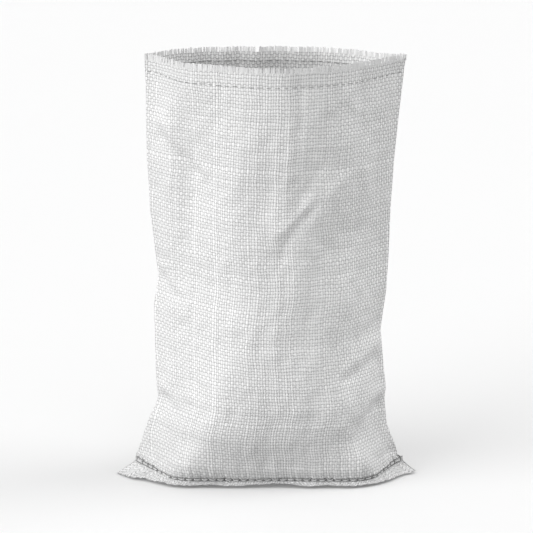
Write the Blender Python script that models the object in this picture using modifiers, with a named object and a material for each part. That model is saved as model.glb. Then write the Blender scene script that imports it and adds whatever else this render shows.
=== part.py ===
"""A cement sack: an empty, open sack of white woven plastic tape, standing on its sewn hem.

One tube of woven fabric is closed along its bottom by a chain stitch. The hem below the stitch flares
out on the floor and ends in an ear at each side. The mouth is open, with a line of stitching under its
raw edge. The fabric is drawn thicker than it is, so that each wall is a solid.

Metres, +Z up, the front towards -Y. The origin is on the floor, in the middle of the object's box.
"""

from collections import namedtuple
import math

import bmesh
import bpy
import numpy as np

OBJECT_NAME = "cement_sack"

# Fabric and mesh
WALL = 0.0012
FLOOR_THICKNESS = 0.0030
POINTS_AROUND = 36

# The sack's outside, from the mouth to the floor. Left and right are its sides in x, front and back its
# depth each way from y = 0. A high squareness makes the plan a box, a low one a lens. A front or back edge
# of 0.5 rounds the sides as on an ellipse. One of 1.0 leaves them pointed, as where the flat tube was
# folded, and above that the front comes off the fold nearly flat.
Station = namedtuple("Station", "height left right front back squareness front_edge back_edge")
STATIONS = (
    Station(0.570, -0.1598, 0.1830, 0.104, 0.052, 2.2, 1.14, 0.98),
    Station(0.545, -0.1590, 0.1795, 0.103, 0.060, 2.2, 1.16, 0.96),
    Station(0.493, -0.1581, 0.1739, 0.099, 0.074, 2.2, 1.16, 0.94),
    Station(0.428, -0.1573, 0.1678, 0.094, 0.086, 2.2, 1.16, 0.88),
    Station(0.364, -0.1538, 0.1637, 0.092, 0.095, 2.2, 1.18, 0.82),
    Station(0.299, -0.1463, 0.1615, 0.093, 0.101, 2.2, 1.16, 0.72),
    Station(0.273, -0.1432, 0.1601, 0.095, 0.103, 2.2, 1.10, 0.70),
    Station(0.240, -0.1482, 0.1572, 0.097, 0.104, 2.2, 1.06, 0.68),
    Station(0.200, -0.1484, 0.1516, 0.100, 0.104, 2.3, 1.06, 0.68),
    Station(0.158, -0.1480, 0.1555, 0.100, 0.104, 2.6, 1.14, 0.70),
    Station(0.107, -0.1440, 0.1585, 0.096, 0.102, 3.0, 1.30, 0.74),
    Station(0.076, -0.1572, 0.1600, 0.092, 0.097, 3.2, 1.36, 0.78),
    Station(0.052, -0.1652, 0.1670, 0.087, 0.088, 3.6, 1.32, 0.86),
    Station(0.035, -0.1706, 0.1735, 0.081, 0.077, 4.0, 1.18, 0.94),
    Station(0.020, -0.1765, 0.1830, 0.071, 0.068, 4.2, 1.04, 1.00),
    Station(0.010, -0.1870, 0.1950, 0.064, 0.064, 4.2, 1.00, 1.00),
    Station(0.002, -0.1990, 0.1995, 0.067, 0.062, 4.2, 1.00, 1.00),
    Station(0.000, -0.2000, 0.2000, 0.068, 0.061, 4.2, 1.00, 1.00),
)
HEM_TOP = 0.020
INSIDE_FLOOR_INSET = 0.004

# Mouth stitching, a thread on each face of the fabric
MOUTH_STITCH_BELOW_RIM = 0.026
THREAD_RADIUS = 0.0005
THREAD_GAP = 0.0003

# Chain stitch of the hem, a ladder of thread on the front: two rails with a rung at each stitch
STITCH_PITCH = 0.0103
RAIL_WIDTH = 0.0009
LADDER_HEIGHT = 0.0040
CHAIN_MIDDLE_HEIGHT = 0.0105
CHAIN_END_RISE = 0.0095
CHAIN_RISE_POWER = 5
CHAIN_REACH = 0.965
CHAIN_THICKNESS = 0.0008
CHAIN_GAP = 0.0005


def clear_scene():
    for obj in list(bpy.data.objects):
        bpy.data.objects.remove(obj, do_unlink=True)


def make_collection():
    collection = bpy.data.collections.new(OBJECT_NAME)
    bpy.context.scene.collection.children.link(collection)
    return collection


def make_material(name, color, roughness):
    material = bpy.data.materials.new(name)
    material.use_nodes = True
    shader = material.node_tree.nodes["Principled BSDF"]
    shader.inputs["Base Color"].default_value = (*color, 1.0)
    shader.inputs["Roughness"].default_value = roughness
    shader.inputs["Metallic"].default_value = 0.0
    return material


def at_height(height):
    """The station at any height, between the two that it lies between."""
    rising = STATIONS[::-1]
    heights = [station.height for station in rising]
    return Station(*(np.interp(height, heights, values) for values in zip(*rising)))


def outside(height, turn):
    """Points of the outside at a height. A turn of 0 is the right side, and half a turn the left side."""
    station = at_height(height)
    across = np.cos(turn)
    at_back = np.sin(turn) > 0
    edge = np.where(at_back, station.back_edge, station.front_edge)
    bulge = (1 - np.abs(across) ** station.squareness) ** edge
    depth = np.where(at_back, station.back, -station.front)
    middle = (station.left + station.right) / 2
    half_width = (station.right - station.left) / 2
    return np.column_stack([middle + half_width * across, depth * bulge])


def grown(loop, distance):
    """A closed anticlockwise outline moved outwards by a distance, with its corners kept sharp."""
    before = loop - np.roll(loop, 1, axis=0)
    after = np.roll(loop, -1, axis=0) - loop
    normals = [np.column_stack([side[:, 1], -side[:, 0]]) for side in (before, after)]
    first, second = (n / np.linalg.norm(n, axis=1, keepdims=True) for n in normals)
    half_turn = (1 + (first * second).sum(axis=1, keepdims=True)) / 2
    return loop + distance * (first + second) / 2 / half_turn


def ring(height, offset=0.0):
    """The fabric's outline at a height, moved outwards by the offset, as points in space."""
    turn = np.arange(POINTS_AROUND) * 2 * math.pi / POINTS_AROUND
    loop = grown(outside(height, turn), offset)
    return [(x, y, height) for x, y in loop]


def add_ring(mesh, points):
    return [mesh.verts.new(point) for point in points]


def join_rings(mesh, upper, lower):
    for i in range(len(upper)):
        j = (i + 1) % len(upper)
        mesh.faces.new((lower[i], lower[j], upper[j], upper[i]))


def add_object(name, data, material, collection):
    obj = bpy.data.objects.new(name, data)
    obj.data.materials.append(material)
    collection.objects.link(obj)
    return obj


def finish_mesh(mesh, name):
    bmesh.ops.recalc_face_normals(mesh, faces=mesh.faces)
    data = bpy.data.meshes.new(name)
    mesh.to_mesh(data)
    mesh.free()
    data.shade_smooth()
    data.set_sharp_from_angle(angle=math.radians(40))
    return data


def make_sack(material, collection):
    """A loft down the outside, across the flat underside, and back up the inside to the mouth."""
    mesh = bmesh.new()
    heights = [station.height for station in STATIONS]
    outer = [add_ring(mesh, ring(height)) for height in heights]
    inner = [add_ring(mesh, ring(height, -WALL)) for height in heights if height >= HEM_TOP]
    floor = [(x, y, FLOOR_THICKNESS) for x, y, _ in ring(HEM_TOP, -WALL - INSIDE_FLOOR_INSET)]
    inner.append(add_ring(mesh, floor))
    for upper, lower in zip(outer, outer[1:]):
        join_rings(mesh, upper, lower)
    for upper, lower in zip(inner, inner[1:]):
        join_rings(mesh, lower, upper)
    join_rings(mesh, inner[0], outer[0])
    mesh.faces.new(outer[-1][::-1])
    mesh.faces.new(inner[-1])
    return add_object("sack", finish_mesh(mesh, "sack"), material, collection)


def make_mouth_thread(name, offset, material, collection):
    """One thread of the mouth's stitching, a closed tube round the fabric."""
    curve = bpy.data.curves.new(name, "CURVE")
    curve.dimensions = "3D"
    curve.bevel_depth = THREAD_RADIUS
    curve.bevel_resolution = 1
    spline = curve.splines.new("POLY")
    points = ring(STATIONS[0].height - MOUTH_STITCH_BELOW_RIM, offset)
    spline.points.add(len(points) - 1)
    for point, place in zip(spline.points, points):
        point.co = (*place, 1.0)
    spline.use_cyclic_u = True
    return add_object(name, curve, material, collection)


def chain_point(across, rise):
    """A point just off the front, at a share of the half width and a height above the chain's middle."""
    height = CHAIN_MIDDLE_HEIGHT + CHAIN_END_RISE * abs(across) ** CHAIN_RISE_POWER + rise
    turn = np.array([-math.acos(across)])
    step = 0.01
    near = [outside(height, turn + side)[0] for side in (-step, step)]
    along = (near[1] - near[0]) / np.linalg.norm(near[1] - near[0])
    x, y = outside(height, turn)[0] + CHAIN_GAP * np.array([along[1], -along[0]])
    return x, y, height


def chain_columns():
    """Shares of the half width at the two sides of each rung, from left to right, evenly along the seam."""
    fine = np.linspace(-CHAIN_REACH, CHAIN_REACH, 2001)
    route = np.array([chain_point(across, 0.0) for across in fine])
    length = np.concatenate([[0.0], np.cumsum(np.linalg.norm(np.diff(route, axis=0), axis=1))])
    stitches = round((length[-1] - RAIL_WIDTH) / STITCH_PITCH)
    starts = np.linspace(0.0, length[-1] - RAIL_WIDTH, stitches + 1)
    marks = np.column_stack([starts, starts + RAIL_WIDTH]).ravel()
    return np.interp(marks, length, fine)


def make_hem_chain(material, collection):
    """The ladder of the chain stitch: a strip of rails and rungs with its openings left out."""
    half = LADDER_HEIGHT / 2
    rises = (-half, -half + RAIL_WIDTH, half - RAIL_WIDTH, half)
    mesh = bmesh.new()
    columns = [[mesh.verts.new(chain_point(across, rise)) for rise in rises] for across in chain_columns()]
    for number, (left, right) in enumerate(zip(columns, columns[1:])):
        is_rung = number % 2 == 0
        for row in (0, 1, 2) if is_rung else (0, 2):
            mesh.faces.new((left[row], right[row], right[row + 1], left[row + 1]))
    data = bpy.data.meshes.new("hem_chain_stitch")
    mesh.to_mesh(data)
    mesh.free()
    chain = add_object("hem_chain_stitch", data, material, collection)
    thicken = chain.modifiers.new("Thread thickness", "SOLIDIFY")
    thicken.thickness = CHAIN_THICKNESS
    thicken.offset = 1.0
    return chain


def main():
    clear_scene()
    collection = make_collection()
    fabric = make_material("woven_tape_fabric", (0.84, 0.85, 0.85), 0.5)
    thread = make_material("sewing_thread", (0.62, 0.62, 0.61), 0.8)
    make_sack(fabric, collection)
    outer_offset = THREAD_GAP + THREAD_RADIUS
    make_mouth_thread("mouth_needle_thread", outer_offset, thread, collection)
    make_mouth_thread("mouth_looper_thread", -WALL - outer_offset, thread, collection)
    make_hem_chain(thread, collection)


main()
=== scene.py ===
"""The looks of an empty cement sack: woven tape fabric, frayed mouth, stitching, folds and sewn hem.

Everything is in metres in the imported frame: +Z up, the front towards -Y. The fabric is one tube. Its front
wall ends in the seam, and its back wall turns forward over the floor to the same seam. Below the seam both
layers go on as a short flap, the hem, whose two corners are the ears.
"""

import math

import bpy
import numpy as np
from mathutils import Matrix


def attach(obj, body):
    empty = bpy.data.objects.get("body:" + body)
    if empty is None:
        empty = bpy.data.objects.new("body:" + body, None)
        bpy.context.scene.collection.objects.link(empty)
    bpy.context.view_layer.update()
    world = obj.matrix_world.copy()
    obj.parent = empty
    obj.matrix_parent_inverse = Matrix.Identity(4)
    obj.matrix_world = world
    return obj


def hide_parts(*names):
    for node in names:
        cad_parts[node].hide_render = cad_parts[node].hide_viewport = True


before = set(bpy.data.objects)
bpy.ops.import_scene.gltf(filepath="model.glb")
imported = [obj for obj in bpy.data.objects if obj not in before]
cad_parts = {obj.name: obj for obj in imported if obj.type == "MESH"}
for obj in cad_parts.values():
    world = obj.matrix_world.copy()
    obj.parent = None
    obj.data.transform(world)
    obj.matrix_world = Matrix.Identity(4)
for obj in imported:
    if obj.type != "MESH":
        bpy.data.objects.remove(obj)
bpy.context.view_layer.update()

# Fabric: a tube of flat tape, woven warp up and weft round
FLAT_WIDTH = 0.400
FLAT_LENGTH = 0.600
WARP_TAPES = 222
WARP_PITCH = 2 * FLAT_WIDTH / WARP_TAPES
WEFT_PITCH = 0.0042
FABRIC_EDGE = 0.5635
WEFT_TILT = 0.035
WEFT_SAG = 0.0045

# Mesh of the walls
FRONT_COLUMNS = 200
BACK_COLUMNS = 134
ROW_STEP = 0.0027
WALL_FOOT = 0.030
FOOT_ROWS = 16

# The walls' sides, as (height, x) from the mouth down. The kinks are where creases meet the side.
LEFT_SIDE = (
    (0.5700, -0.1598), (0.5250, -0.1579), (0.4930, -0.1581), (0.4290, -0.1573), (0.3960, -0.1549),
    (0.3640, -0.1538), (0.3310, -0.1501), (0.2990, -0.1463), (0.2730, -0.1432), (0.2500, -0.1467),
    (0.2330, -0.1494), (0.2000, -0.1484), (0.1420, -0.1474), (0.1180, -0.1462), (0.1070, -0.1440),
    (0.0930, -0.1491), (0.0760, -0.1572), (0.0520, -0.1654), (0.0340, -0.1706), (0.0200, -0.1757),
)
RIGHT_SIDE = (
    (0.5700, 0.1830), (0.5490, 0.1799), (0.5250, 0.1775), (0.4930, 0.1739), (0.4290, 0.1678),
    (0.3640, 0.1637), (0.2990, 0.1615), (0.2500, 0.1586), (0.2330, 0.1561), (0.2000, 0.1516),
    (0.1760, 0.1538), (0.1420, 0.1567), (0.1180, 0.1596), (0.1070, 0.1576), (0.0930, 0.1584),
    (0.0680, 0.1610), (0.0520, 0.1670), (0.0430, 0.1714), (0.0280, 0.1751), (0.0200, 0.1824),
)

# How far the front and back reach out at each height
FRONT_REACH = (
    (0.5700, 0.104), (0.4800, 0.099), (0.4000, 0.0945), (0.3000, 0.0940), (0.2000, 0.0975),
    (0.1500, 0.0985), (0.1050, 0.0950), (0.0760, 0.0895), (0.0520, 0.0830), (0.0300, 0.0740),
)
BACK_REACH = (
    (0.5700, 0.052), (0.5450, 0.060), (0.4930, 0.074), (0.4280, 0.086), (0.3640, 0.095),
    (0.2990, 0.101), (0.2400, 0.104), (0.1580, 0.104), (0.1070, 0.102), (0.0760, 0.097),
    (0.0520, 0.087), (0.0300, 0.073),
)

# Plans of the front at some heights, from left to right: shares of the half width, and of the reach
FRONT_PLANS = (
    (0.5700, ((-1.0, 0.0), (-0.937, 0.04), (-0.80, 0.35), (-0.67, 0.61), (-0.42, 0.80), (-0.04, 1.0),
              (0.19, 0.96), (0.38, 0.85), (0.615, 0.60), (0.88, 0.19), (1.0, 0.0))),
    (0.4200, ((-1.0, 0.0), (-0.885, 0.22), (-0.79, 0.37), (-0.62, 0.47), (-0.45, 0.72), (-0.28, 0.92),
              (-0.10, 0.99), (0.07, 1.0), (0.24, 0.95), (0.42, 0.86), (0.59, 0.71), (0.76, 0.42), (1.0, 0.0))),
    (0.3200, ((-1.0, 0.0), (-0.85, 0.29), (-0.67, 0.50), (-0.49, 0.74), (-0.31, 0.92), (-0.135, 0.99),
              (0.04, 1.0), (0.22, 0.97), (0.40, 0.84), (0.58, 0.67), (0.76, 0.36), (0.93, 0.08), (1.0, 0.0))),
    (0.2000, ((-1.0, 0.0), (-0.86, 0.25), (-0.67, 0.50), (-0.48, 0.74), (-0.29, 0.92), (-0.10, 1.0),
              (0.09, 1.0), (0.28, 0.92), (0.47, 0.82), (0.66, 0.67), (0.855, 0.36), (0.97, 0.10), (1.0, 0.0))),
    (0.0670, ((-1.0, 0.0), (-0.82, 0.38), (-0.66, 0.70), (-0.48, 0.92), (-0.28, 0.985), (0.0, 1.0),
              (0.30, 0.98), (0.50, 0.92), (0.68, 0.77), (0.83, 0.43), (0.93, 0.14), (1.0, 0.0))),
    (0.0200, ((-1.0, 0.0), (-0.91, 0.17), (-0.78, 0.60), (-0.70, 0.90), (-0.58, 1.0), (0.0, 0.98),
              (0.46, 1.0), (0.72, 0.95), (0.78, 0.87), (0.85, 0.50), (0.95, 0.05), (1.0, 0.0))),
)
BACK_PLANS = (
    (0.5700, ((-1.0, 0.0), (-0.70, 0.77), (-0.42, 0.98), (0.0, 1.0), (0.19, 0.98), (0.44, 0.79),
              (0.65, 0.50), (0.84, 0.07), (1.0, 0.0))),
    (0.4600, ((-1.0, 0.0), (-0.80, 0.42), (-0.50, 0.82), (-0.15, 1.0), (0.20, 0.97), (0.52, 0.77),
              (0.80, 0.38), (1.0, 0.0))),
    (0.2500, ((-1.0, 0.0), (-0.92, 0.32), (-0.70, 0.66), (-0.40, 0.90), (0.0, 1.0), (0.40, 0.90),
              (0.70, 0.66), (0.92, 0.32), (1.0, 0.0))),
    (0.0700, ((-1.0, 0.0), (-0.90, 0.40), (-0.70, 0.75), (-0.40, 0.97), (0.0, 1.0), (0.40, 0.97),
              (0.70, 0.75), (0.90, 0.40), (1.0, 0.0))),
    (0.0200, ((-1.0, 0.0), (-0.88, 0.42), (-0.70, 0.80), (-0.45, 0.97), (0.0, 1.0), (0.45, 0.97),
              (0.70, 0.80), (0.88, 0.42), (1.0, 0.0))),
)

# Seam of the bottom: its middle line as (x, depth to the front), its height, and the ladder's size
SEAM_PLAN = (
    (-0.1757, 0.000), (-0.160, 0.014), (-0.137, 0.042), (-0.125, 0.058), (-0.106, 0.066), (-0.050, 0.067),
    (0.010, 0.066), (0.084, 0.068), (0.128, 0.066), (0.142, 0.058), (0.155, 0.035), (0.173, 0.005),
    (0.1824, 0.000),
)
SEAM_MIDDLE_HEIGHT = 0.0105
SEAM_END_RISE = 0.0105
SEAM_RISE_POWER = 7
LADDER_HALF_HEIGHT = 0.0031
STRIP_TILT_MIDDLE = math.radians(42)
STRIP_TILT_END = math.radians(-8)
STRIP_ROWS = 3

# Edge of the hem on the floor as (x, depth to the front), and where it lifts off it as (x, height)
HEM_PLAN = (
    (-0.2015, 0.005), (-0.191, 0.019), (-0.178, 0.034), (-0.162, 0.042), (-0.144, 0.056), (-0.125, 0.070),
    (-0.105, 0.075), (-0.085, 0.074), (-0.045, 0.076), (0.005, 0.074), (0.030, 0.074), (0.060, 0.077),
    (0.085, 0.075), (0.114, 0.076), (0.141, 0.065), (0.163, 0.046), (0.184, 0.016), (0.1960, 0.008),
    (0.2005, 0.000),
)
HEM_LIFT = (
    (-0.201, 0.0026), (-0.186, 0.0020), (-0.170, 0.0046), (-0.156, 0.0034), (-0.140, 0.0042), (-0.084, 0.0044),
    (-0.071, 0.0058), (-0.058, 0.0042), (-0.034, 0.0042), (-0.019, 0.0056), (-0.008, 0.0056), (0.012, 0.0070),
    (0.028, 0.0060), (0.046, 0.0042), (0.060, 0.0040), (0.076, 0.0052), (0.092, 0.0042), (0.150, 0.0040),
    (0.168, 0.0038), (0.184, 0.0026), (0.2005, 0.0030),
)
FLAP_ROWS = 8
LAYER_GAP = 0.0006
HEM_STITCH = 0.0103
PUCKER_HEIGHT = 0.0007

# Folds of the front as (height, width, points along it in x and z). A negative height is a valley.
CREASES = (
    (0.0026, 0.010, ((-0.150, 0.500), (-0.141, 0.491), (-0.121, 0.464), (-0.097, 0.442), (-0.070, 0.415))),
    (-0.0024, 0.008, ((-0.148, 0.478), (-0.130, 0.458), (-0.106, 0.434), (-0.084, 0.412))),
    (0.0042, 0.010, ((0.062, 0.402), (0.050, 0.384), (0.031, 0.363), (0.005, 0.341))),
    (-0.0034, 0.010, ((0.072, 0.392), (0.055, 0.374), (0.038, 0.357), (0.024, 0.334), (0.013, 0.292))),
    (-0.0030, 0.018, ((0.082, 0.452), (0.062, 0.424), (0.046, 0.392), (0.030, 0.350))),
    (0.0022, 0.014, ((0.118, 0.430), (0.092, 0.410), (0.070, 0.384), (0.050, 0.350))),
    (0.0010, 0.005, ((0.074, 0.328), (0.062, 0.314))),
    (-0.0010, 0.005, ((0.078, 0.324), (0.066, 0.309))),
    (0.0009, 0.005, ((0.090, 0.520), (0.080, 0.507))),
    (0.0034, 0.012, ((0.116, 0.564), (0.105, 0.524), (0.116, 0.504), (0.110, 0.489), (0.110, 0.436))),
    (0.0036, 0.012, ((0.110, 0.446), (0.130, 0.423), (0.127, 0.387), (0.118, 0.363), (0.110, 0.343))),
    (0.0028, 0.012, ((0.110, 0.343), (0.118, 0.323), (0.110, 0.276), (0.103, 0.223))),
    (-0.0024, 0.010, ((0.128, 0.560), (0.124, 0.500), (0.128, 0.450))),
    (0.0026, 0.009, ((-0.146, 0.299), (-0.136, 0.287), (-0.123, 0.269), (-0.106, 0.253))),
    (-0.0026, 0.009, ((-0.143, 0.283), (-0.128, 0.262), (-0.110, 0.243))),
    (0.0024, 0.008, ((-0.145, 0.140), (-0.134, 0.120), (-0.114, 0.099))),
    (-0.0024, 0.009, ((-0.143, 0.118), (-0.130, 0.101), (-0.108, 0.086))),
    (-0.0016, 0.014, ((-0.147, 0.239), (-0.125, 0.222), (-0.098, 0.203))),
    (-0.0014, 0.014, ((-0.110, 0.156), (-0.080, 0.134))),
    (-0.0030, 0.016, ((-0.156, 0.078), (-0.141, 0.070), (-0.126, 0.062))),
    (-0.0030, 0.010, ((0.092, 0.140), (0.128, 0.156), (0.158, 0.171))),
    (0.0028, 0.009, ((0.096, 0.158), (0.130, 0.174), (0.158, 0.189))),
    (-0.0032, 0.009, ((0.112, 0.066), (0.136, 0.088), (0.161, 0.108))),
    (0.0028, 0.009, ((0.112, 0.088), (0.138, 0.110), (0.158, 0.124))),
    (-0.0026, 0.010, ((0.124, 0.197), (0.142, 0.210), (0.160, 0.220))),
    (-0.0024, 0.004, ((0.159, 0.098), (0.162, 0.086), (0.167, 0.059), (0.171, 0.044))),
    (0.0026, 0.010, ((0.024, 0.566), (0.030, 0.500), (0.030, 0.455), (0.024, 0.405), (0.022, 0.330))),
    (-0.0026, 0.008, ((0.044, 0.566), (0.045, 0.500), (0.044, 0.462))),
    (-0.0016, 0.008, ((0.172, 0.566), (0.171, 0.505))),
)
CREASE_ROUNDING = 0.0022

# Folds of the back, in the same way
BACK_CREASES = (
    (0.0030, 0.012, ((-0.130, 0.470), (-0.080, 0.410), (-0.050, 0.350))),
    (-0.0026, 0.012, ((-0.120, 0.430), (-0.070, 0.380))),
    (0.0034, 0.014, ((0.120, 0.400), (0.060, 0.350), (0.020, 0.280))),
    (-0.0028, 0.012, ((0.130, 0.370), (0.076, 0.322), (0.044, 0.262))),
    (0.0026, 0.014, ((-0.150, 0.290), (-0.100, 0.255), (-0.040, 0.240))),
    (-0.0022, 0.010, ((-0.140, 0.265), (-0.095, 0.236))),
    (0.0022, 0.012, ((0.150, 0.180), (0.100, 0.150), (0.060, 0.140))),
    (-0.0024, 0.012, ((-0.150, 0.110), (-0.105, 0.090), (-0.060, 0.085))),
    (0.0022, 0.012, ((0.160, 0.100), (0.120, 0.075), (0.070, 0.070))),
    (0.0018, 0.016, ((0.030, 0.566), (0.020, 0.480), (0.000, 0.420))),
)

# Ribs of the inside of the back wall, under the mouth, as (x, height, width)
MOUTH_RIBS = (
    (-0.098, -0.0014, 0.006), (-0.080, 0.0016, 0.006), (-0.058, -0.0012, 0.007), (-0.036, 0.0014, 0.006),
    (-0.012, -0.0016, 0.008), (0.012, 0.0014, 0.007), (0.040, -0.0012, 0.007), (0.070, 0.0012, 0.008),
)
MOUTH_RIB_DEPTH = 0.09

# Chance swells of the cloth: (seed, count, shortest, longest, height)
SWELLS = ((11, 26, 0.045, 0.110, 0.0011), (23, 40, 0.014, 0.034, 0.00042))

# Frayed edge of the mouth: the ends of the warp tapes
TAPE_END_WIDTH = (0.0028, 0.0036)
TAPE_END_HEIGHT = (0.0062, 0.0071)
TAPE_ROOT = 0.0016
TAPES_MISSING = 0.012

# Stitching: the mouth's needle thread outside and its looped thread inside, and the hem's chain
MOUTH_STITCH = 0.0113
MOUTH_STITCH_HEIGHT = 0.5475
MOUTH_STITCH_TILT = 0.0035
NEEDLE_RADIUS = 0.00034
LOOPER_RADIUS = 0.00014
LOOPER_HALF_HEIGHT = 0.0011
CHAIN_RADIUS = 0.00036
STRAND_RADIUS = 0.00075

# Light: the sky's ramp as heights from and to with its two strengths, and soft suns as (name, azimuth
# from the front towards the left, height, both in degrees, spread in degrees, strength)
WORLD_RAMP = (0.30, 0.75, 0.34, 0.84)
SUNS = (
    ("key", 58, 14, 60, 2.24),
    ("right", -98, 28, 45, 1.08),
    ("front", 10, 50, 60, 0.30),
)
FLOOR_SIZE = 240.0

# Camera, as far away and as high as the photograph's perspective says
CAMERA_DISTANCE = 5.0
CAMERA_PITCH = math.radians(13.5)
CAMERA_AIM = 0.2845
CAMERA_LENS = 254.9


def eased(points, at, ease):
    """Values read off a line through (place, value) points, with its corners rounded over a distance."""
    places, values = np.array(sorted(points)).T
    return np.mean([np.interp(at + reach, places, values) for reach in np.linspace(-ease, ease, 9)], axis=0)


def curve_through(points, count):
    """Points evenly along a smooth curve through some points."""
    points = np.array(points, float)
    steps = np.linalg.norm(np.diff(points, axis=0), axis=1)
    at = np.concatenate([[0.0], np.cumsum(np.sqrt(steps))])
    slopes = np.gradient(points, at, axis=0)
    fine = np.linspace(0, at[-1], 12 * len(points))
    i = np.clip(np.searchsorted(at, fine) - 1, 0, len(at) - 2)
    span = (at[i + 1] - at[i])[:, None]
    t = (fine - at[i])[:, None] / span
    curve = ((2 * t**3 - 3 * t**2 + 1) * points[i] + (t**3 - 2 * t**2 + t) * span * slopes[i]
             + (3 * t**2 - 2 * t**3) * points[i + 1] + (t**3 - t**2) * span * slopes[i + 1])
    return evenly(curve, count)


def evenly(curve, count):
    """The same curve with points at even steps along it."""
    length = np.concatenate([[0.0], np.cumsum(np.linalg.norm(np.diff(curve, axis=0), axis=1))])
    marks = np.linspace(0, length[-1], count)
    return np.column_stack([np.interp(marks, length, column) for column in curve.T])


def plan_at(plans, height, count):
    """The plan between the two given ones that lie around a height."""
    heights = [h for h, _ in plans]
    curves = [curve_through(points, count) for _, points in plans]
    for (high, upper), (low, lower) in zip(zip(heights, curves), zip(heights[1:], curves[1:])):
        if height >= low:
            break
    t = np.clip((height - low) / (high - low), 0, 1)
    t = t * t * (3 - 2 * t)
    return t * upper + (1 - t) * lower


def wall_rows():
    """Heights of the mesh's rows from the fabric's edge to the foot of the walls."""
    return np.linspace(FABRIC_EDGE, WALL_FOOT, round((FABRIC_EDGE - WALL_FOOT) / ROW_STEP) + 1)


def wall_row(height):
    """Points round the tube at a height: the front from left to right, then the back from right to left."""
    left = eased(LEFT_SIDE, height, 0.004)
    right = eased(RIGHT_SIDE, height, 0.004)
    middle, half = (left + right) / 2, (right - left) / 2
    parts = []
    for plans, reach, count, way in (
        (FRONT_PLANS, FRONT_REACH, FRONT_COLUMNS, -1), (BACK_PLANS, BACK_REACH, BACK_COLUMNS, 1)
    ):
        out = eased(reach, height, 0.02)
        across, share = plan_at(plans, height, 240).T
        line = evenly(np.column_stack([middle + half * across, way * out * share]), count + 1)
        parts.append(line)
    front, back = parts
    loop = np.concatenate([front[:-1], back[::-1][:-1]])
    return np.column_stack([loop, np.full(len(loop), height)])


def seam_height(x):
    across = np.clip(x / np.where(x < 0, 0.1757, 0.1824), -1, 1)
    return SEAM_MIDDLE_HEIGHT + SEAM_END_RISE * np.abs(across) ** SEAM_RISE_POWER


def seam_frame(count):
    """Points along the seam's middle from left to right, and there the strip's way up and its way out."""
    x, depth = evenly(curve_through(SEAM_PLAN, 400), count).T
    centre = np.column_stack([x, -depth, seam_height(x)])
    along = np.gradient(centre, axis=0)
    along /= np.linalg.norm(along, axis=1, keepdims=True)
    level = np.column_stack([along[:, 1], -along[:, 0], np.zeros(count)])
    level /= np.linalg.norm(level, axis=1, keepdims=True)
    share = np.abs(np.linspace(-1, 1, count))[:, None] ** 4
    tilt = STRIP_TILT_MIDDLE * (1 - share) + STRIP_TILT_END * share
    up = np.sin(tilt) * level + np.cos(tilt) * np.array([0, 0, 1.0])
    return centre, up, np.cross(along, up) * [1, 1, 1]


def hem_line(count):
    x, depth = evenly(curve_through(HEM_PLAN, 400), count).T
    return np.column_stack([x, -depth, eased(HEM_LIFT, x, 0.006)])


def blend(first, second, share):
    return (1 - share) * first + share * second


def foot_rows(last):
    """Rows below the walls: down the front and under the back to the seam, its strip, and the hem's flap."""
    count = FRONT_COLUMNS
    starts = last[: count + 1], np.vstack([last[count:], last[:1]])
    seams = [seam_frame(count + 1), [part[::-1] for part in seam_frame(BACK_COLUMNS + 1)]]
    hems = hem_line(count + 1), hem_line(BACK_COLUMNS + 1)[::-1]
    rows = []
    for step in range(1, FOOT_ROWS + 1):
        t = step / FOOT_ROWS
        halves = []
        for start, (centre, up, _), is_back in zip(starts, seams, (False, True)):
            top = centre + LADDER_HALF_HEIGHT * up
            if is_back:
                halves.append(under_back(start, top, t))
            else:
                swell = np.sin(math.pi * t) * np.array([0, -0.0012, -0.0006])
                halves.append(blend(start, top, t) + swell)
        rows.append(join_halves(halves))
    for step in range(1, STRIP_ROWS + 1):
        height = LADDER_HALF_HEIGHT * (1 - 2 * step / STRIP_ROWS)
        halves = [centre + height * up for centre, up, _ in seams]
        halves[1] = halves[1] + behind(seams[1][2], 1 - abs(height) / LADDER_HALF_HEIGHT)
        rows.append(join_halves(halves))
    for step in range(1, FLAP_ROWS + 1):
        t = step / FLAP_ROWS
        halves = []
        for (centre, up, out), hem, is_back in zip(seams, hems, (False, True)):
            low = centre - LADDER_HALF_HEIGHT * up
            sag = math.sin(math.pi * t) * np.array([0, 0, -0.0012])
            flap = blend(low, hem, t) + sag
            if is_back:
                flap = flap + behind(out, math.sin(math.pi * t))
            flap[:, 2] = np.maximum(flap[:, 2], 0.0004)
            halves.append(flap)
        rows.append(join_halves(halves))
    return rows


def behind(out, share):
    """A small step inwards for the back layer, that keeps it clear of the front one."""
    return -LAYER_GAP * share * out * [1, 1, 0]


def join_halves(halves):
    """One loop from a front row, left to right, and a back row, right to left."""
    return np.concatenate([halves[0][:-1], halves[1][:-1]])


def under_back(start, seam, t):
    """A row of the back wall's foot: the wall comes down, rounds onto the floor and goes forward to the seam."""
    rise = np.clip(seam[:, 2:3] - seam[:, 2:3].min(), 0, None) * np.array([[0, 0, 1.0]])
    floor = np.array([0, 0, 0.0010])
    heel = start * [1, 0.84, 0] + floor + rise
    toe = seam * [1, 1, 0] + [0, 0.010, 0] + floor + rise * 0.8
    stops = (0.0, 0.14, 0.28, 0.42, 0.88, 1.0)
    points = (start, start * [1, 0.985, 0.60], start * [1, 0.93, 0.24] + rise * 0.5, heel, toe, seam)
    for low, high, first, second in zip(stops, stops[1:], points, points[1:]):
        if t <= high + 1e-9:
            return blend(first, second, (t - low) / (high - low))
    return seam


def make_walls():
    """The whole cloth as a grid of points: the rows from the mouth down, the columns round the tube."""
    rows = [wall_row(height) for height in wall_rows()]
    walls_end = len(rows)
    rows += foot_rows(rows[-1])
    walls = np.array(rows)
    outward = outward_of(walls)
    walls += outward * relief(walls, walls_end)[..., None]
    walls[:, :, 2] = np.maximum(walls[:, :, 2], 0.0004)
    return walls


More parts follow.
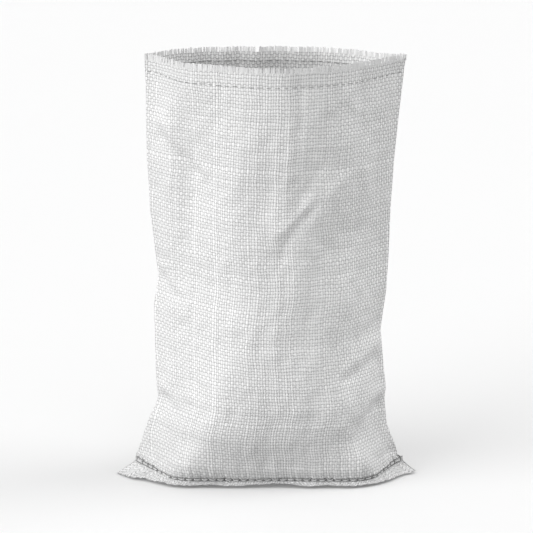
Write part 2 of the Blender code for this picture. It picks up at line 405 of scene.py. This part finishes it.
def outward_of(walls):
    """Unit normals of the grid, out of the tube."""
    down = np.gradient(walls, axis=0)
    around = np.roll(walls, -1, axis=1) - np.roll(walls, 1, axis=1)
    normal = np.cross(down, around)
    return normal / np.maximum(np.linalg.norm(normal, axis=2, keepdims=True), 1e-12)


def crease_height(x, z, creases):
    """The height of some folds at points of a wall."""
    total = np.zeros_like(x)
    for height, width, points in creases:
        points = np.array(points)
        steps = np.linalg.norm(np.diff(points, axis=0), axis=1)
        starts = np.concatenate([[0.0], np.cumsum(steps)])
        nearest, along = np.full(x.shape, np.inf), np.zeros_like(x)
        for first, way, start, step in zip(points, np.diff(points, axis=0), starts, steps):
            t = np.clip(((x - first[0]) * way[0] + (z - first[1]) * way[1]) / step**2, 0, 1)
            gap = np.hypot(x - first[0] - t * way[0], z - first[1] - t * way[1])
            along = np.where(gap < nearest, start + t * step, along)
            nearest = np.minimum(gap, nearest)
        share = along / starts[-1]
        fade = np.clip(0.1 + 4 * np.minimum(share, 1 - share), 0, 1)
        total += height * fade * np.exp((CREASE_ROUNDING - np.hypot(nearest, CREASE_ROUNDING)) / width)
    return total


def swells(walls):
    """Smooth chance unevenness that runs on all round the tube."""
    total = np.zeros(walls.shape[:2])
    for seed, count, shortest, longest, height in SWELLS:
        chance = np.random.default_rng(seed)
        for _ in range(count):
            way = chance.normal(size=3) * [1, 1, 0.7]
            length = shortest * (longest / shortest) ** chance.random()
            phase = walls @ (way / np.linalg.norm(way)) * 2 * math.pi / length + chance.uniform(0, 2 * math.pi)
            total += height * (length / longest) * np.sin(phase) / math.sqrt(count / 2)
    return total


def relief(walls, walls_end):
    """How far each point of the grid stands out of the plain walls."""
    x, z = walls[..., 0], walls[..., 2]
    is_front = (np.arange(walls.shape[1]) <= FRONT_COLUMNS)[None, :]
    side_fade = side_distance(walls.shape[1])
    height = np.where(is_front, crease_height(x, z, CREASES), crease_height(x, z, BACK_CREASES))
    ribs = sum(rise * np.exp(-(((x - place) / width) ** 2)) for place, rise, width in MOUTH_RIBS)
    height += np.where(is_front, 0, ribs * np.clip(1 - (FABRIC_EDGE - z) / MOUTH_RIB_DEPTH, 0, 1))
    height += swells(walls) * np.clip((FABRIC_EDGE + 0.004 - z) / 0.05, 0.15, 1)
    line = mouth_stitch_height(walls[..., 1])
    height -= np.where(is_front, 0.0005, 0.0001) * np.exp(-(((z - line) / 0.0024) ** 2))
    height *= side_fade
    rows = np.arange(len(walls))[:, None]
    foot = np.clip((rows - walls_end + 6) / 14, 0, 1)
    down_from_strip = rows - walls_end - FOOT_ROWS
    in_strip = (down_from_strip >= 0) & (down_from_strip < STRIP_ROWS)
    height *= np.where(down_from_strip >= 0, 0.25, 1 - 0.5 * foot)
    return height + puckers(walls, foot, in_strip, is_front)


def side_distance(columns):
    """0 at the tube's two sides and 1 away from them, so that the silhouette stays as it was set."""
    at = np.arange(columns)
    gap = np.minimum.reduce([at, np.abs(at - FRONT_COLUMNS), columns - at])
    return np.clip(gap / 7, 0.0, 1)[None, :] ** 0.7


def puckers(walls, foot, in_strip, is_front):
    """Small folds that the hem's stitches draw into the cloth, strongest towards the ears."""
    row = walls[len(walls) - FLAP_ROWS - 2]
    steps = np.linalg.norm(np.roll(row, -1, axis=0) - row, axis=1)
    around = np.concatenate([[0.0], np.cumsum(steps[:-1])])
    wave = np.cos(2 * math.pi * around / HEM_STITCH) + 0.5 * np.cos(2 * math.pi * around / HEM_STITCH / 2.7 + 1)
    share = np.abs(np.linspace(-1, 1, FRONT_COLUMNS + 1))[:-1] ** 3
    strength = np.concatenate([0.5 + 1.3 * share, np.full(len(row) - FRONT_COLUMNS, 0.5)])
    return PUCKER_HEIGHT * foot * np.where(in_strip, 0.25, 1) * (wave * strength)[None, :] * is_front


def mouth_stitch_height(depth):
    return MOUTH_STITCH_HEIGHT + MOUTH_STITCH_TILT * np.clip(depth / 0.05, -1, 1)


def halves_of(walls):
    """The front's and the back's grids of points, each with both of its side columns."""
    return walls[:, : FRONT_COLUMNS + 1], np.concatenate([walls[:, FRONT_COLUMNS:], walls[:, :1]], axis=1)


def fabric_places(walls):
    """Where each point lies in the cloth, as metres round the tube and down from the fabric's edge."""
    front, back = halves_of(walls)
    rounds = []
    for half in (front, back):
        step = np.linalg.norm(np.diff(half, axis=1), axis=2)
        rounds.append(np.concatenate([np.zeros((len(walls), 1)), np.cumsum(step, axis=1)], axis=1))
    round_front = rounds[0] - rounds[0][:, FRONT_COLUMNS // 2, None]
    start, end = round_front[:, -1:], round_front[:, :1] + 2 * FLAT_WIDTH
    round_back = start + rounds[1] / rounds[1][:, -1:] * (end - start)
    places = []
    for half, around in ((front, round_front), (back, round_back)):
        fall = np.linalg.norm(np.diff(half, axis=0), axis=2)
        down = np.concatenate([np.zeros((1, half.shape[1])), np.cumsum(fall, axis=0)])
        down = blend(down, np.median(down, axis=1)[:, None], 0.7)
        across = half[..., 0] / 0.16
        slack = np.clip(down / 0.12, 0, 1)
        down = down - slack * (WEFT_TILT * half[..., 0] + WEFT_SAG * (1 - across**2))
        places.append(np.stack([around, down], axis=-1))
    return places


def cloth_point(walls, outward, row, column):
    """The place and the outward direction at fractional rows and columns of the grid."""
    row = np.clip(row, 0, len(walls) - 1.001)
    r, c = np.floor(row).astype(int), np.floor(column).astype(int)
    fr, fc = (row - r)[:, None], (column - c)[:, None]
    c, d = c % walls.shape[1], (c + 1) % walls.shape[1]
    found = []
    for grid in (walls, outward):
        upper = blend(grid[r, c], grid[r, d], fc)
        lower = blend(grid[r + 1, c], grid[r + 1, d], fc)
        found.append(blend(upper, lower, fr))
    place, way = found
    return place, way / np.linalg.norm(way, axis=1, keepdims=True)


def mouth_columns(walls, row, marks):
    """Columns at the given distances round the tube along one row, and the length of that row."""
    line = np.vstack([walls[row], walls[row][:1]])
    length = np.concatenate([[0.0], np.cumsum(np.linalg.norm(np.diff(line, axis=0), axis=1))])
    return np.interp(marks % length[-1], length, np.arange(len(line))), length[-1]


def round_of_mouth(walls, row):
    return mouth_columns(walls, row, np.zeros(1))[1]


def row_at(height):
    return (FABRIC_EDGE - height) / (FABRIC_EDGE - WALL_FOOT) * (len(wall_rows()) - 1)


def tube_grid(path, radius, sides, closed):
    """Points of a tube round a path, one ring a row."""
    if closed:
        way = np.roll(path, -1, axis=0) - np.roll(path, 1, axis=0)
    else:
        way = np.gradient(path, axis=0)
    way /= np.linalg.norm(way, axis=1, keepdims=True)
    side = np.cross(way, [0.13, 0.21, 0.97])
    side /= np.linalg.norm(side, axis=1, keepdims=True)
    other = np.cross(way, side)
    turn = np.arange(sides) * 2 * math.pi / sides
    ring = np.cos(turn)[None, :, None] * side[:, None] + np.sin(turn)[None, :, None] * other[:, None]
    return path[:, None] + radius * ring


def tubes_object(name, tubes, closed):
    """One mesh of many tubes, with a UV map of metres along each thread and turns round it."""
    points, faces, places = [], [], []
    for grid in tubes:
        rings, sides = grid.shape[:2]
        first = len(points)
        points += grid.reshape(-1, 3).tolist()
        middle = grid.mean(axis=1)
        length = np.concatenate([[0.0], np.cumsum(np.linalg.norm(np.diff(middle, axis=0), axis=1))])
        last = rings if closed else rings - 1
        for i in range(last):
            j = (i + 1) % rings
            ends = length[i], length[i] + np.linalg.norm(middle[j] - middle[i])
            for k in range(sides):
                m = (k + 1) % sides
                faces.append([first + i * sides + k, first + i * sides + m,
                              first + j * sides + m, first + j * sides + k])
                places += [ends[0], k / sides, ends[0], (k + 1) / sides,
                           ends[1], (k + 1) / sides, ends[1], k / sides]
        if not closed:
            faces.append([first + k for k in range(sides)][::-1])
            faces.append([first + (rings - 1) * sides + k for k in range(sides)])
            places += [0.0, 0.0] * (2 * sides)
    data = bpy.data.meshes.new(name)
    data.from_pydata(points, [], faces)
    data.uv_layers.new(name="thread").data.foreach_set("uv", np.array(places, np.float32))
    data.shade_smooth()
    obj = bpy.data.objects.new(name, data)
    bpy.context.scene.collection.objects.link(obj)
    return obj


def boxed_loop(count, power=0.55):
    """A closed loop between a circle and a box, as (across, up) from -1 to 1."""
    turn = np.arange(count) * 2 * math.pi / count
    across, up = np.cos(turn), np.sin(turn)
    return np.sign(across) * np.abs(across) ** power, np.sign(up) * np.abs(up) ** power


def make_needle_thread(walls, outward):
    """The mouth's needle thread, on the outside between its stitch holes and dipping in at each."""
    row = round(row_at(MOUTH_STITCH_HEIGHT))
    length = round_of_mouth(walls, row)
    stitches = round(length / MOUTH_STITCH)
    marks = np.arange(stitches * 8) / 8 * length / stitches
    column, _ = mouth_columns(walls, row, marks)
    depth = cloth_point(walls, outward, np.full(len(column), float(row)), column)[0][:, 1]
    chance = np.random.default_rng(5)
    lie = chance.normal(0, 0.00022, stitches)
    height = mouth_stitch_height(depth) + np.repeat(lie, 8)
    place, way = cloth_point(walls, outward, row_at(height), column)
    share = np.repeat(chance.uniform(0.40, 0.72, stitches), 8)
    lift = np.clip((share - np.abs((marks * stitches / length) % 1 - 0.5) * 2) * 4, -1, 1)
    path = place + way * (0.0007 * lift - 0.0001)[:, None]
    return tubes_object("mouth_needle_stitches", [tube_grid(path, NEEDLE_RADIUS, 6, True)], True)


def make_looper_thread(walls, outward):
    """The mouth's other thread on the inside: a chain of flat loops, each caught in the next."""
    row = round(row_at(MOUTH_STITCH_HEIGHT))
    length = round_of_mouth(walls, row)
    stitches = round(length / MOUTH_STITCH)
    pitch = length / stitches
    across, up = boxed_loop(16)
    tubes = []
    chance = np.random.default_rng(6)
    for number in range(stitches):
        marks = (number + 0.5 + 0.58 * across) * pitch
        column, _ = mouth_columns(walls, row, marks)
        depth = cloth_point(walls, outward, np.full(len(column), float(row)), column)[0][:, 1]
        height = mouth_stitch_height(depth) + LOOPER_HALF_HEIGHT * chance.uniform(0.85, 1.1) * up
        place, way = cloth_point(walls, outward, row_at(height), column)
        path = place - way * (0.0007 + 0.0003 * across)[:, None]
        tubes.append(tube_grid(path, LOOPER_RADIUS, 5, True))
    return tubes_object("mouth_looper_chain", tubes, True)


def seam_spots(walls, outward, share, rise):
    """Places on the seam's strip: shares of its length from the left, and heights from its middle line."""
    middle_row = len(walls) - FLAP_ROWS - 1 - STRIP_ROWS / 2
    row = middle_row - rise / LADDER_HALF_HEIGHT * STRIP_ROWS / 2
    return cloth_point(walls, outward, row, np.clip(share, 0.002, 0.998) * FRONT_COLUMNS)


def make_hem_chain(walls, outward):
    """The hem's chain on the strip of the seam: a ladder of thin thread, and a fat strand in each opening."""
    strip = walls[len(walls) - FLAP_ROWS - 2, : FRONT_COLUMNS + 1]
    length = np.linalg.norm(np.diff(strip, axis=0), axis=1).sum()
    stitches = round(length / HEM_STITCH) - 1
    pitch = 0.985 / stitches
    across, rise = boxed_loop(20, 0.30)
    turn = np.linspace(-1, 1, 9)
    ladder, strands = [], []
    chance = np.random.default_rng(8)
    for number in range(stitches):
        middle = 0.0075 + (number + 0.5) * pitch
        side = 2 * middle - 1
        half = 0.0026 + 0.0010 * max(0.0, -side - 0.60) / 0.40 + 0.0007 * max(0.0, side - 0.62) / 0.38
        half *= chance.uniform(0.92, 1.08)
        spot, off = seam_spots(walls, outward, middle + 0.50 * pitch * across, half * rise)
        ladder.append(tube_grid(spot + off * 0.0010, CHAIN_RADIUS, 6, True))
        spot, off = seam_spots(walls, outward, middle + 0.37 * pitch * turn, chance.normal(0, 0.0002) + 0 * turn)
        path = spot + off * (0.0011 - 0.0012 * turn**4)[:, None]
        strands.append(tube_grid(path, STRAND_RADIUS, 8, False))
    return tubes_object("hem_chain_ladder", ladder, True), tubes_object("hem_chain_strands", strands, False)


def make_fringe(walls, outward):
    """The frayed edge of the mouth: the end of each warp tape, its sides, lean and height left to chance."""
    chance = np.random.default_rng(3)
    length = round_of_mouth(walls, 0)
    points, faces, places = [], [], []
    for number in range(WARP_TAPES):
        if chance.random() < TAPES_MISSING:
            continue
        width = chance.uniform(*TAPE_END_WIDTH)
        tall = chance.uniform(*TAPE_END_HEIGHT)
        lean, bend = chance.normal(0, 0.035), chance.normal(0.01, 0.05)
        if chance.random() < 0.12:
            lean *= 3
        twist, fold = chance.normal(0, 0.30), chance.uniform(0.0002, 0.0006)
        mark = np.array([(number + 0.5 + chance.normal(0, 0.12)) * length / WARP_TAPES])
        column, _ = mouth_columns(walls, 0, mark)
        place, way = (v[0] for v in cloth_point(walls, outward, np.array([TAPE_ROOT / ROW_STEP]), column))
        along = np.cross([0, 0, 1.0], way)
        along /= np.linalg.norm(along)
        first = len(points)
        rows = 6
        for i in range(rows):
            t = i / (rows - 1)
            rise = t * (tall + TAPE_ROOT)
            turned = along * math.cos(twist * t) + way * math.sin(twist * t)
            middle = (place + np.array([0, 0, rise]) + along * lean * rise
                      + way * (bend * rise * t + 0.0002 - 0.0004 * (number % 2)))
            for side in (-1, 0, 1):
                ragged = chance.normal(0, 0.00035) if i == rows - 1 else 0.0
                spread = 1 - 0.10 * t * chance.random()
                point = middle + turned * side * width / 2 * spread + way * fold * (side == 0)
                points.append((point + [0, 0, ragged]).tolist())
        for i in range(rows - 1):
            for k in range(2):
                a = first + i * 3 + k
                faces.append([a, a + 1, a + 4, a + 3])
                left = number * WARP_PITCH + k * WARP_PITCH / 2
                low, high = i * 0.0015, (i + 1) * 0.0015
                places += [left, low, left + WARP_PITCH / 2, low, left + WARP_PITCH / 2, high, left, high]
    data = bpy.data.meshes.new("mouth_fringe")
    data.from_pydata(points, [], faces)
    data.uv_layers.new(name="cloth").data.foreach_set("uv", np.array(places, np.float32))
    data.shade_smooth()
    obj = bpy.data.objects.new("mouth_fringe", data)
    bpy.context.scene.collection.objects.link(obj)
    return obj


def mesh_from_grid(name, grid, cyclic):
    """A mesh of quads over a grid of points."""
    rows, columns = grid.shape[:2]
    index = np.arange(rows * columns).reshape(rows, columns)
    across = np.roll(index, -1, axis=1) if cyclic else index[:, 1:]
    here = index if cyclic else index[:, :-1]
    faces = np.stack([here[:-1], here[1:], across[1:], across[:-1]], axis=-1).reshape(-1, 4)
    data = bpy.data.meshes.new(name)
    data.from_pydata(grid.reshape(-1, 3).tolist(), [], faces.tolist())
    data.shade_smooth()
    obj = bpy.data.objects.new(name, data)
    bpy.context.scene.collection.objects.link(obj)
    return obj


def set_fabric_places(obj, places):
    """Stores where each face's corners lie in the cloth as a UV map in metres."""
    here = np.concatenate([half[:, :-1] for half in places], axis=1)
    there = np.concatenate([half[:, 1:] for half in places], axis=1)
    corners = np.stack([here[:-1], here[1:], there[1:], there[:-1]], axis=2)
    layer = obj.data.uv_layers.new(name="cloth")
    layer.data.foreach_set("uv", corners.reshape(-1).astype(np.float32))


class Shading:
    """Builds one material's nodes: maths on sockets and numbers, and the few textures used here."""

    def __init__(self, name, roughness):
        self.material = bpy.data.materials.new(name)
        self.material.use_nodes = True
        self.tree = self.material.node_tree
        self.shader = self.tree.nodes["Principled BSDF"]
        self.shader.inputs["Roughness"].default_value = roughness

    def node(self, kind, inputs=(), **settings):
        node = self.tree.nodes.new(kind)
        for name, value in settings.items():
            setattr(node, name, value)
        for key, given in inputs:
            if isinstance(given, bpy.types.NodeSocket):
                self.tree.links.new(given, node.inputs[key])
            else:
                node.inputs[key].default_value = given
        return node

    def math(self, operation, *values, clamp=False):
        inputs = list(enumerate(values))
        return self.node("ShaderNodeMath", inputs, operation=operation, use_clamp=clamp).outputs[0]

    def ramp(self, value, low, high, start=0.0, end=1.0):
        """A value's smooth rise from one number to another between two marks."""
        inputs = [(0, value), (1, low), (2, high), (3, start), (4, end)]
        return self.node("ShaderNodeMapRange", inputs, interpolation_type="SMOOTHSTEP").outputs[0]

    def mix(self, share, first, second):
        """The first value where the share is 0 and the second where it is 1."""
        return self.math("ADD", first, self.math("MULTIPLY", share, self.math("SUBTRACT", second, first)))

    def places(self, layer):
        uv = self.node("ShaderNodeUVMap", uv_map=layer).outputs[0]
        split = self.node("ShaderNodeSeparateXYZ", [(0, uv)])
        return uv, split.outputs[0], split.outputs[1]

    def noise(self, place, scale, detail=2.0):
        inputs = [("Vector", place), ("Scale", scale), ("Detail", detail)]
        return self.node("ShaderNodeTexNoise", inputs).outputs["Fac"]

    def wander(self, place, value, soft, sharp):
        """How far tapes stray from their even places: slow drift over the cloth, and widths that vary."""
        line = self.node("ShaderNodeTexNoise", [("W", value), ("Scale", sharp), ("Detail", 1.0)],
                         noise_dimensions="1D").outputs["Fac"]
        drift = self.math("MULTIPLY_ADD", self.noise(place, soft), 1.2, -0.6)
        return self.math("ADD", drift, self.math("MULTIPLY_ADD", line, 0.6, -0.3))

    def chance(self, value, offset):
        """A chance number from 0 to 1 for each whole number."""
        moved = self.math("ADD", self.math("FLOOR", value), offset)
        return self.node("ShaderNodeTexWhiteNoise", [("W", moved)], noise_dimensions="1D").outputs["Value"]

    def tint(self, brightness, color):
        """Links a colour times a brightness to the shader."""
        spread = self.node("ShaderNodeCombineXYZ", [(0, brightness), (1, brightness), (2, brightness)])
        inputs = [(0, spread.outputs[0]), (1, color)]
        toned = self.node("ShaderNodeVectorMath", inputs, operation="MULTIPLY").outputs[0]
        self.tree.links.new(toned, self.shader.inputs["Base Color"])

    def bump(self, height, distance=1.0, strength=1.0):
        """Links a height in metres to the shader's normal."""
        inputs = [("Height", height), ("Distance", distance), ("Strength", strength)]
        normal = self.node("ShaderNodeBump", inputs).outputs[0]
        self.tree.links.new(normal, self.shader.inputs["Normal"])

    def link(self, value, name):
        self.tree.links.new(value, self.shader.inputs[name])


WEAVE_HEIGHT = 0.00042


def woven_material():
    """Plain weave of flat tapes: each cell is a pillow of the tape on top, with painted shade at its corners, a
    painted highlight on its crown, painted sheen by where it lies, and painted shade towards the foot.
    """
    make = Shading("woven_fabric", 0.42)
    uv, around, down = make.places("cloth")
    warp = make.math("ADD", make.math("DIVIDE", around, WARP_PITCH), make.wander(uv, around, 36.0, 150.0))
    weft = make.math("ADD", make.math("DIVIDE", down, WEFT_PITCH), make.wander(uv, down, 30.0, 110.0))
    cell_warp, cell_weft = (make.math("SUBTRACT", make.math("FRACT", value), 0.5) for value in (warp, weft))
    order = make.math("ADD", make.math("FLOOR", warp), make.math("FLOOR", weft))
    weft_on_top = make.math("ROUND", make.math("FRACT", make.math("MULTIPLY", order, 0.5)))
    along = make.mix(weft_on_top, cell_weft, cell_warp)
    across = make.mix(weft_on_top, cell_warp, cell_weft)
    off_along, off_across = (make.math("ABSOLUTE", value) for value in (along, across))
    arch = make.math("COSINE", make.math("MULTIPLY", along, math.pi))
    flat = make.ramp(off_across, 0.30, 0.52, 1.0, 0.45)
    pillow = make.math("MULTIPLY", arch, flat)
    warp_chance, weft_chance = make.chance(warp, 0.5), make.chance(weft, 300.5)
    tape_chance = make.mix(weft_on_top, warp_chance, weft_chance)
    lean = make.math("MULTIPLY", across, make.math("MULTIPLY_ADD", tape_chance, 0.9, -0.45))
    fine = make.math("MULTIPLY", make.noise(uv, 900.0, 3.0), 0.16)
    off_warp, off_weft = (make.math("ABSOLUTE", value) for value in (cell_warp, cell_weft))
    folded = make.math("LESS_THAN", make.chance(warp, 77.5), 0.28)
    ridge = make.math("MULTIPLY", folded, make.ramp(off_warp, 0.08, 0.34, 1.0, 0.0))
    height = make.math("ADD", make.math("ADD", pillow, lean), make.math("MULTIPLY_ADD", ridge, 0.4, fine))
    make.bump(make.math("MULTIPLY", height, WEAVE_HEIGHT))
    # Painted shade: darker at the corners of each cell and along the gaps beside folded tapes, where the tapes leave
    # holes in shade.
    corner_shade = make.math("MULTIPLY", make.ramp(off_warp, 0.24, 0.48), make.ramp(off_weft, 0.24, 0.46))
    gap_shade = make.math("MULTIPLY", folded, make.ramp(off_warp, 0.30, 0.46))
    painted_shade = make.math("MULTIPLY_ADD", corner_shade, 0.24, make.math("MULTIPLY", gap_shade, 0.10))
    # Painted highlight: each cell is lighter on the crown of its pillow; folded tapes are also a little lighter
    # along their ridge.
    light = make.math("MULTIPLY_ADD", pillow, 0.30, make.math("MULTIPLY_ADD", ridge, 0.09, 0.73))
    # Painted sheen: by where they lie round the tube, weft cells are lighter and warp cells darker, least in the
    # middle and most at the sides.
    painted_sheen = make.math("ADD", make.ramp(around, -0.09, 0.00, -0.09, -0.035),
                      make.ramp(around, 0.06, 0.12, 0.0, -0.075))
    light = make.math("ADD", light, make.mix(weft_on_top, painted_sheen, make.math("MULTIPLY", painted_sheen, -1.0)))
    tone = make.math("MULTIPLY_ADD", tape_chance, 0.10, 0.94)
    patches_and_foot_shade = make.math("MULTIPLY_ADD", make.noise(uv, 9.0, 3.0), 0.06, 0.97)
    # Painted shade: the cloth grows darker over the lowest part of the walls and stays so over the seam and the
    # hem's flap.
    patches_and_foot_shade = make.math("MULTIPLY", patches_and_foot_shade, make.ramp(down, FLAT_LENGTH - 0.170, FLAT_LENGTH - 0.050, 1.0, 0.87))
    bright = make.math("MULTIPLY", make.math("SUBTRACT", light, painted_shade), make.math("MULTIPLY", tone, patches_and_foot_shade))
    make.tint(bright, (0.95, 0.95, 0.95))
    make.link(make.math("MULTIPLY_ADD", tape_chance, 0.16, 0.34), "Roughness")
    make.shader.inputs["Specular IOR Level"].default_value = 0.45
    return make.material


def tape_material():
    """Loose ends of tape: white with fine lengthwise lines."""
    make = Shading("tape_ends", 0.42)
    uv, around, _ = make.places("cloth")
    lines = make.math("SINE", make.math("MULTIPLY", around, 2 * math.pi / 0.0007))
    streaks = make.noise(uv, 700.0, 2.0)
    tone = make.math("MULTIPLY_ADD", make.chance(make.math("DIVIDE", around, WARP_PITCH), 0.5), 0.10, 0.90)
    make.tint(make.math("MULTIPLY", tone, make.math("MULTIPLY_ADD", streaks, 0.14, 0.93)), (0.90, 0.90, 0.90))
    make.bump(make.math("MULTIPLY", lines, 0.00004))
    return make.material


def thread_material(name, color):
    """Sewing thread: strands twisted round each other, with shade between them."""
    make = Shading(name, 0.7)
    uv, along, turn = make.places("thread")
    phase = make.math("ADD", make.math("DIVIDE", along, 0.0016), turn)
    strand = make.math("ABSOLUTE", make.math("SUBTRACT", make.math("FRACT", make.math("MULTIPLY", phase, 2.0)), 0.5))
    make.tint(make.math("MULTIPLY_ADD", strand, -0.5, 1.0), color)
    make.bump(make.math("MULTIPLY", strand, -0.00012))
    return make.material


def floor_material():
    make = Shading("pale_floor", 0.8)
    place = make.node("ShaderNodeTexCoord").outputs["Object"]
    make.tint(make.math("MULTIPLY_ADD", make.noise(place, 3.0), 0.004, 0.885), (1.0, 1.0, 1.0))
    make.shader.inputs["Specular IOR Level"].default_value = 0.1
    return make.material


def make_stage():
    bpy.ops.mesh.primitive_plane_add(size=FLOOR_SIZE)
    floor = bpy.context.object
    floor.name = "floor"
    floor.visible_diffuse = False
    floor.data.materials.append(floor_material())


def make_lights():
    """Even light from all above, less from below, and a large soft key light from the left."""
    world = bpy.data.worlds.new("studio")
    bpy.context.scene.world = world
    world.use_nodes = True
    tree = world.node_tree
    place = tree.nodes.new("ShaderNodeTexCoord")
    split = tree.nodes.new("ShaderNodeSeparateXYZ")
    spread = tree.nodes.new("ShaderNodeMapRange")
    for name, value in zip(("From Min", "From Max", "To Min", "To Max"), WORLD_RAMP):
        spread.inputs[name].default_value = value
    tree.links.new(place.outputs["Generated"], split.inputs[0])
    tree.links.new(split.outputs[2], spread.inputs["Value"])
    tree.links.new(spread.outputs[0], tree.nodes["Background"].inputs["Strength"])
    tree.nodes["Background"].inputs["Color"].default_value = (1, 1, 1, 1)
    for name, azimuth, height, spread_angle, strength in SUNS:
        light = bpy.data.lights.new(name, "SUN")
        light.angle = math.radians(spread_angle)
        light.energy = strength
        lamp = bpy.data.objects.new(name, light)
        bpy.context.scene.collection.objects.link(lamp)
        lamp.location = (-2, -1, 2)
        lamp.rotation_euler = (math.radians(90 - height), 0, math.radians(-azimuth))


def make_camera():
    data = bpy.data.cameras.new("camera")
    data.lens = CAMERA_LENS
    data.sensor_width = 36
    data.clip_end = 100
    camera = bpy.data.objects.new("camera", data)
    bpy.context.scene.collection.objects.link(camera)
    camera.location = (0, -CAMERA_DISTANCE * math.cos(CAMERA_PITCH),
                       CAMERA_AIM + CAMERA_DISTANCE * math.sin(CAMERA_PITCH))
    camera.rotation_euler = (math.pi / 2 - CAMERA_PITCH, 0, 0)
    bpy.context.scene.camera = camera


bpy.context.scene.view_settings.view_transform = "Standard"
make_camera()
make_stage()
make_lights()

walls = make_walls()
outward = outward_of(walls)
sack = mesh_from_grid("sack_fabric", walls, cyclic=True)
set_fabric_places(sack, fabric_places(walls))
sack.data.materials.append(woven_material())
fringe = make_fringe(walls, outward)
fringe.data.materials.append(tape_material())
needle = make_needle_thread(walls, outward)
# Painted shade: the needle thread is dark grey, standing in for the shade in the holes and grooves of its stitches.
needle.data.materials.append(thread_material("needle_thread", (0.26, 0.26, 0.26)))
looper = make_looper_thread(walls, outward)
looper.data.materials.append(thread_material("looper_thread", (0.74, 0.74, 0.74)))
ladder, strands = make_hem_chain(walls, outward)
# Painted shade: the ladder's thread is near black, standing in for the shade in the grooves round the white chain.
ladder.data.materials.append(thread_material("ladder_thread_painted_shade", (0.16, 0.16, 0.16)))
strands.data.materials.append(thread_material("strand_thread", (0.90, 0.90, 0.90)))

for piece, node, slot in (
    (sack, "sack", "woven_fabric"),
    (fringe, None, "woven_fabric"),
    (needle, "mouth_needle_thread", "sewing_thread"),
    (looper, "mouth_looper_thread", "sewing_thread"),
    (ladder, "hem_chain_stitch", "sewing_thread"),
    (strands, None, "sewing_thread"),
):
    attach(piece, "root")
    if node:
        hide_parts(node)
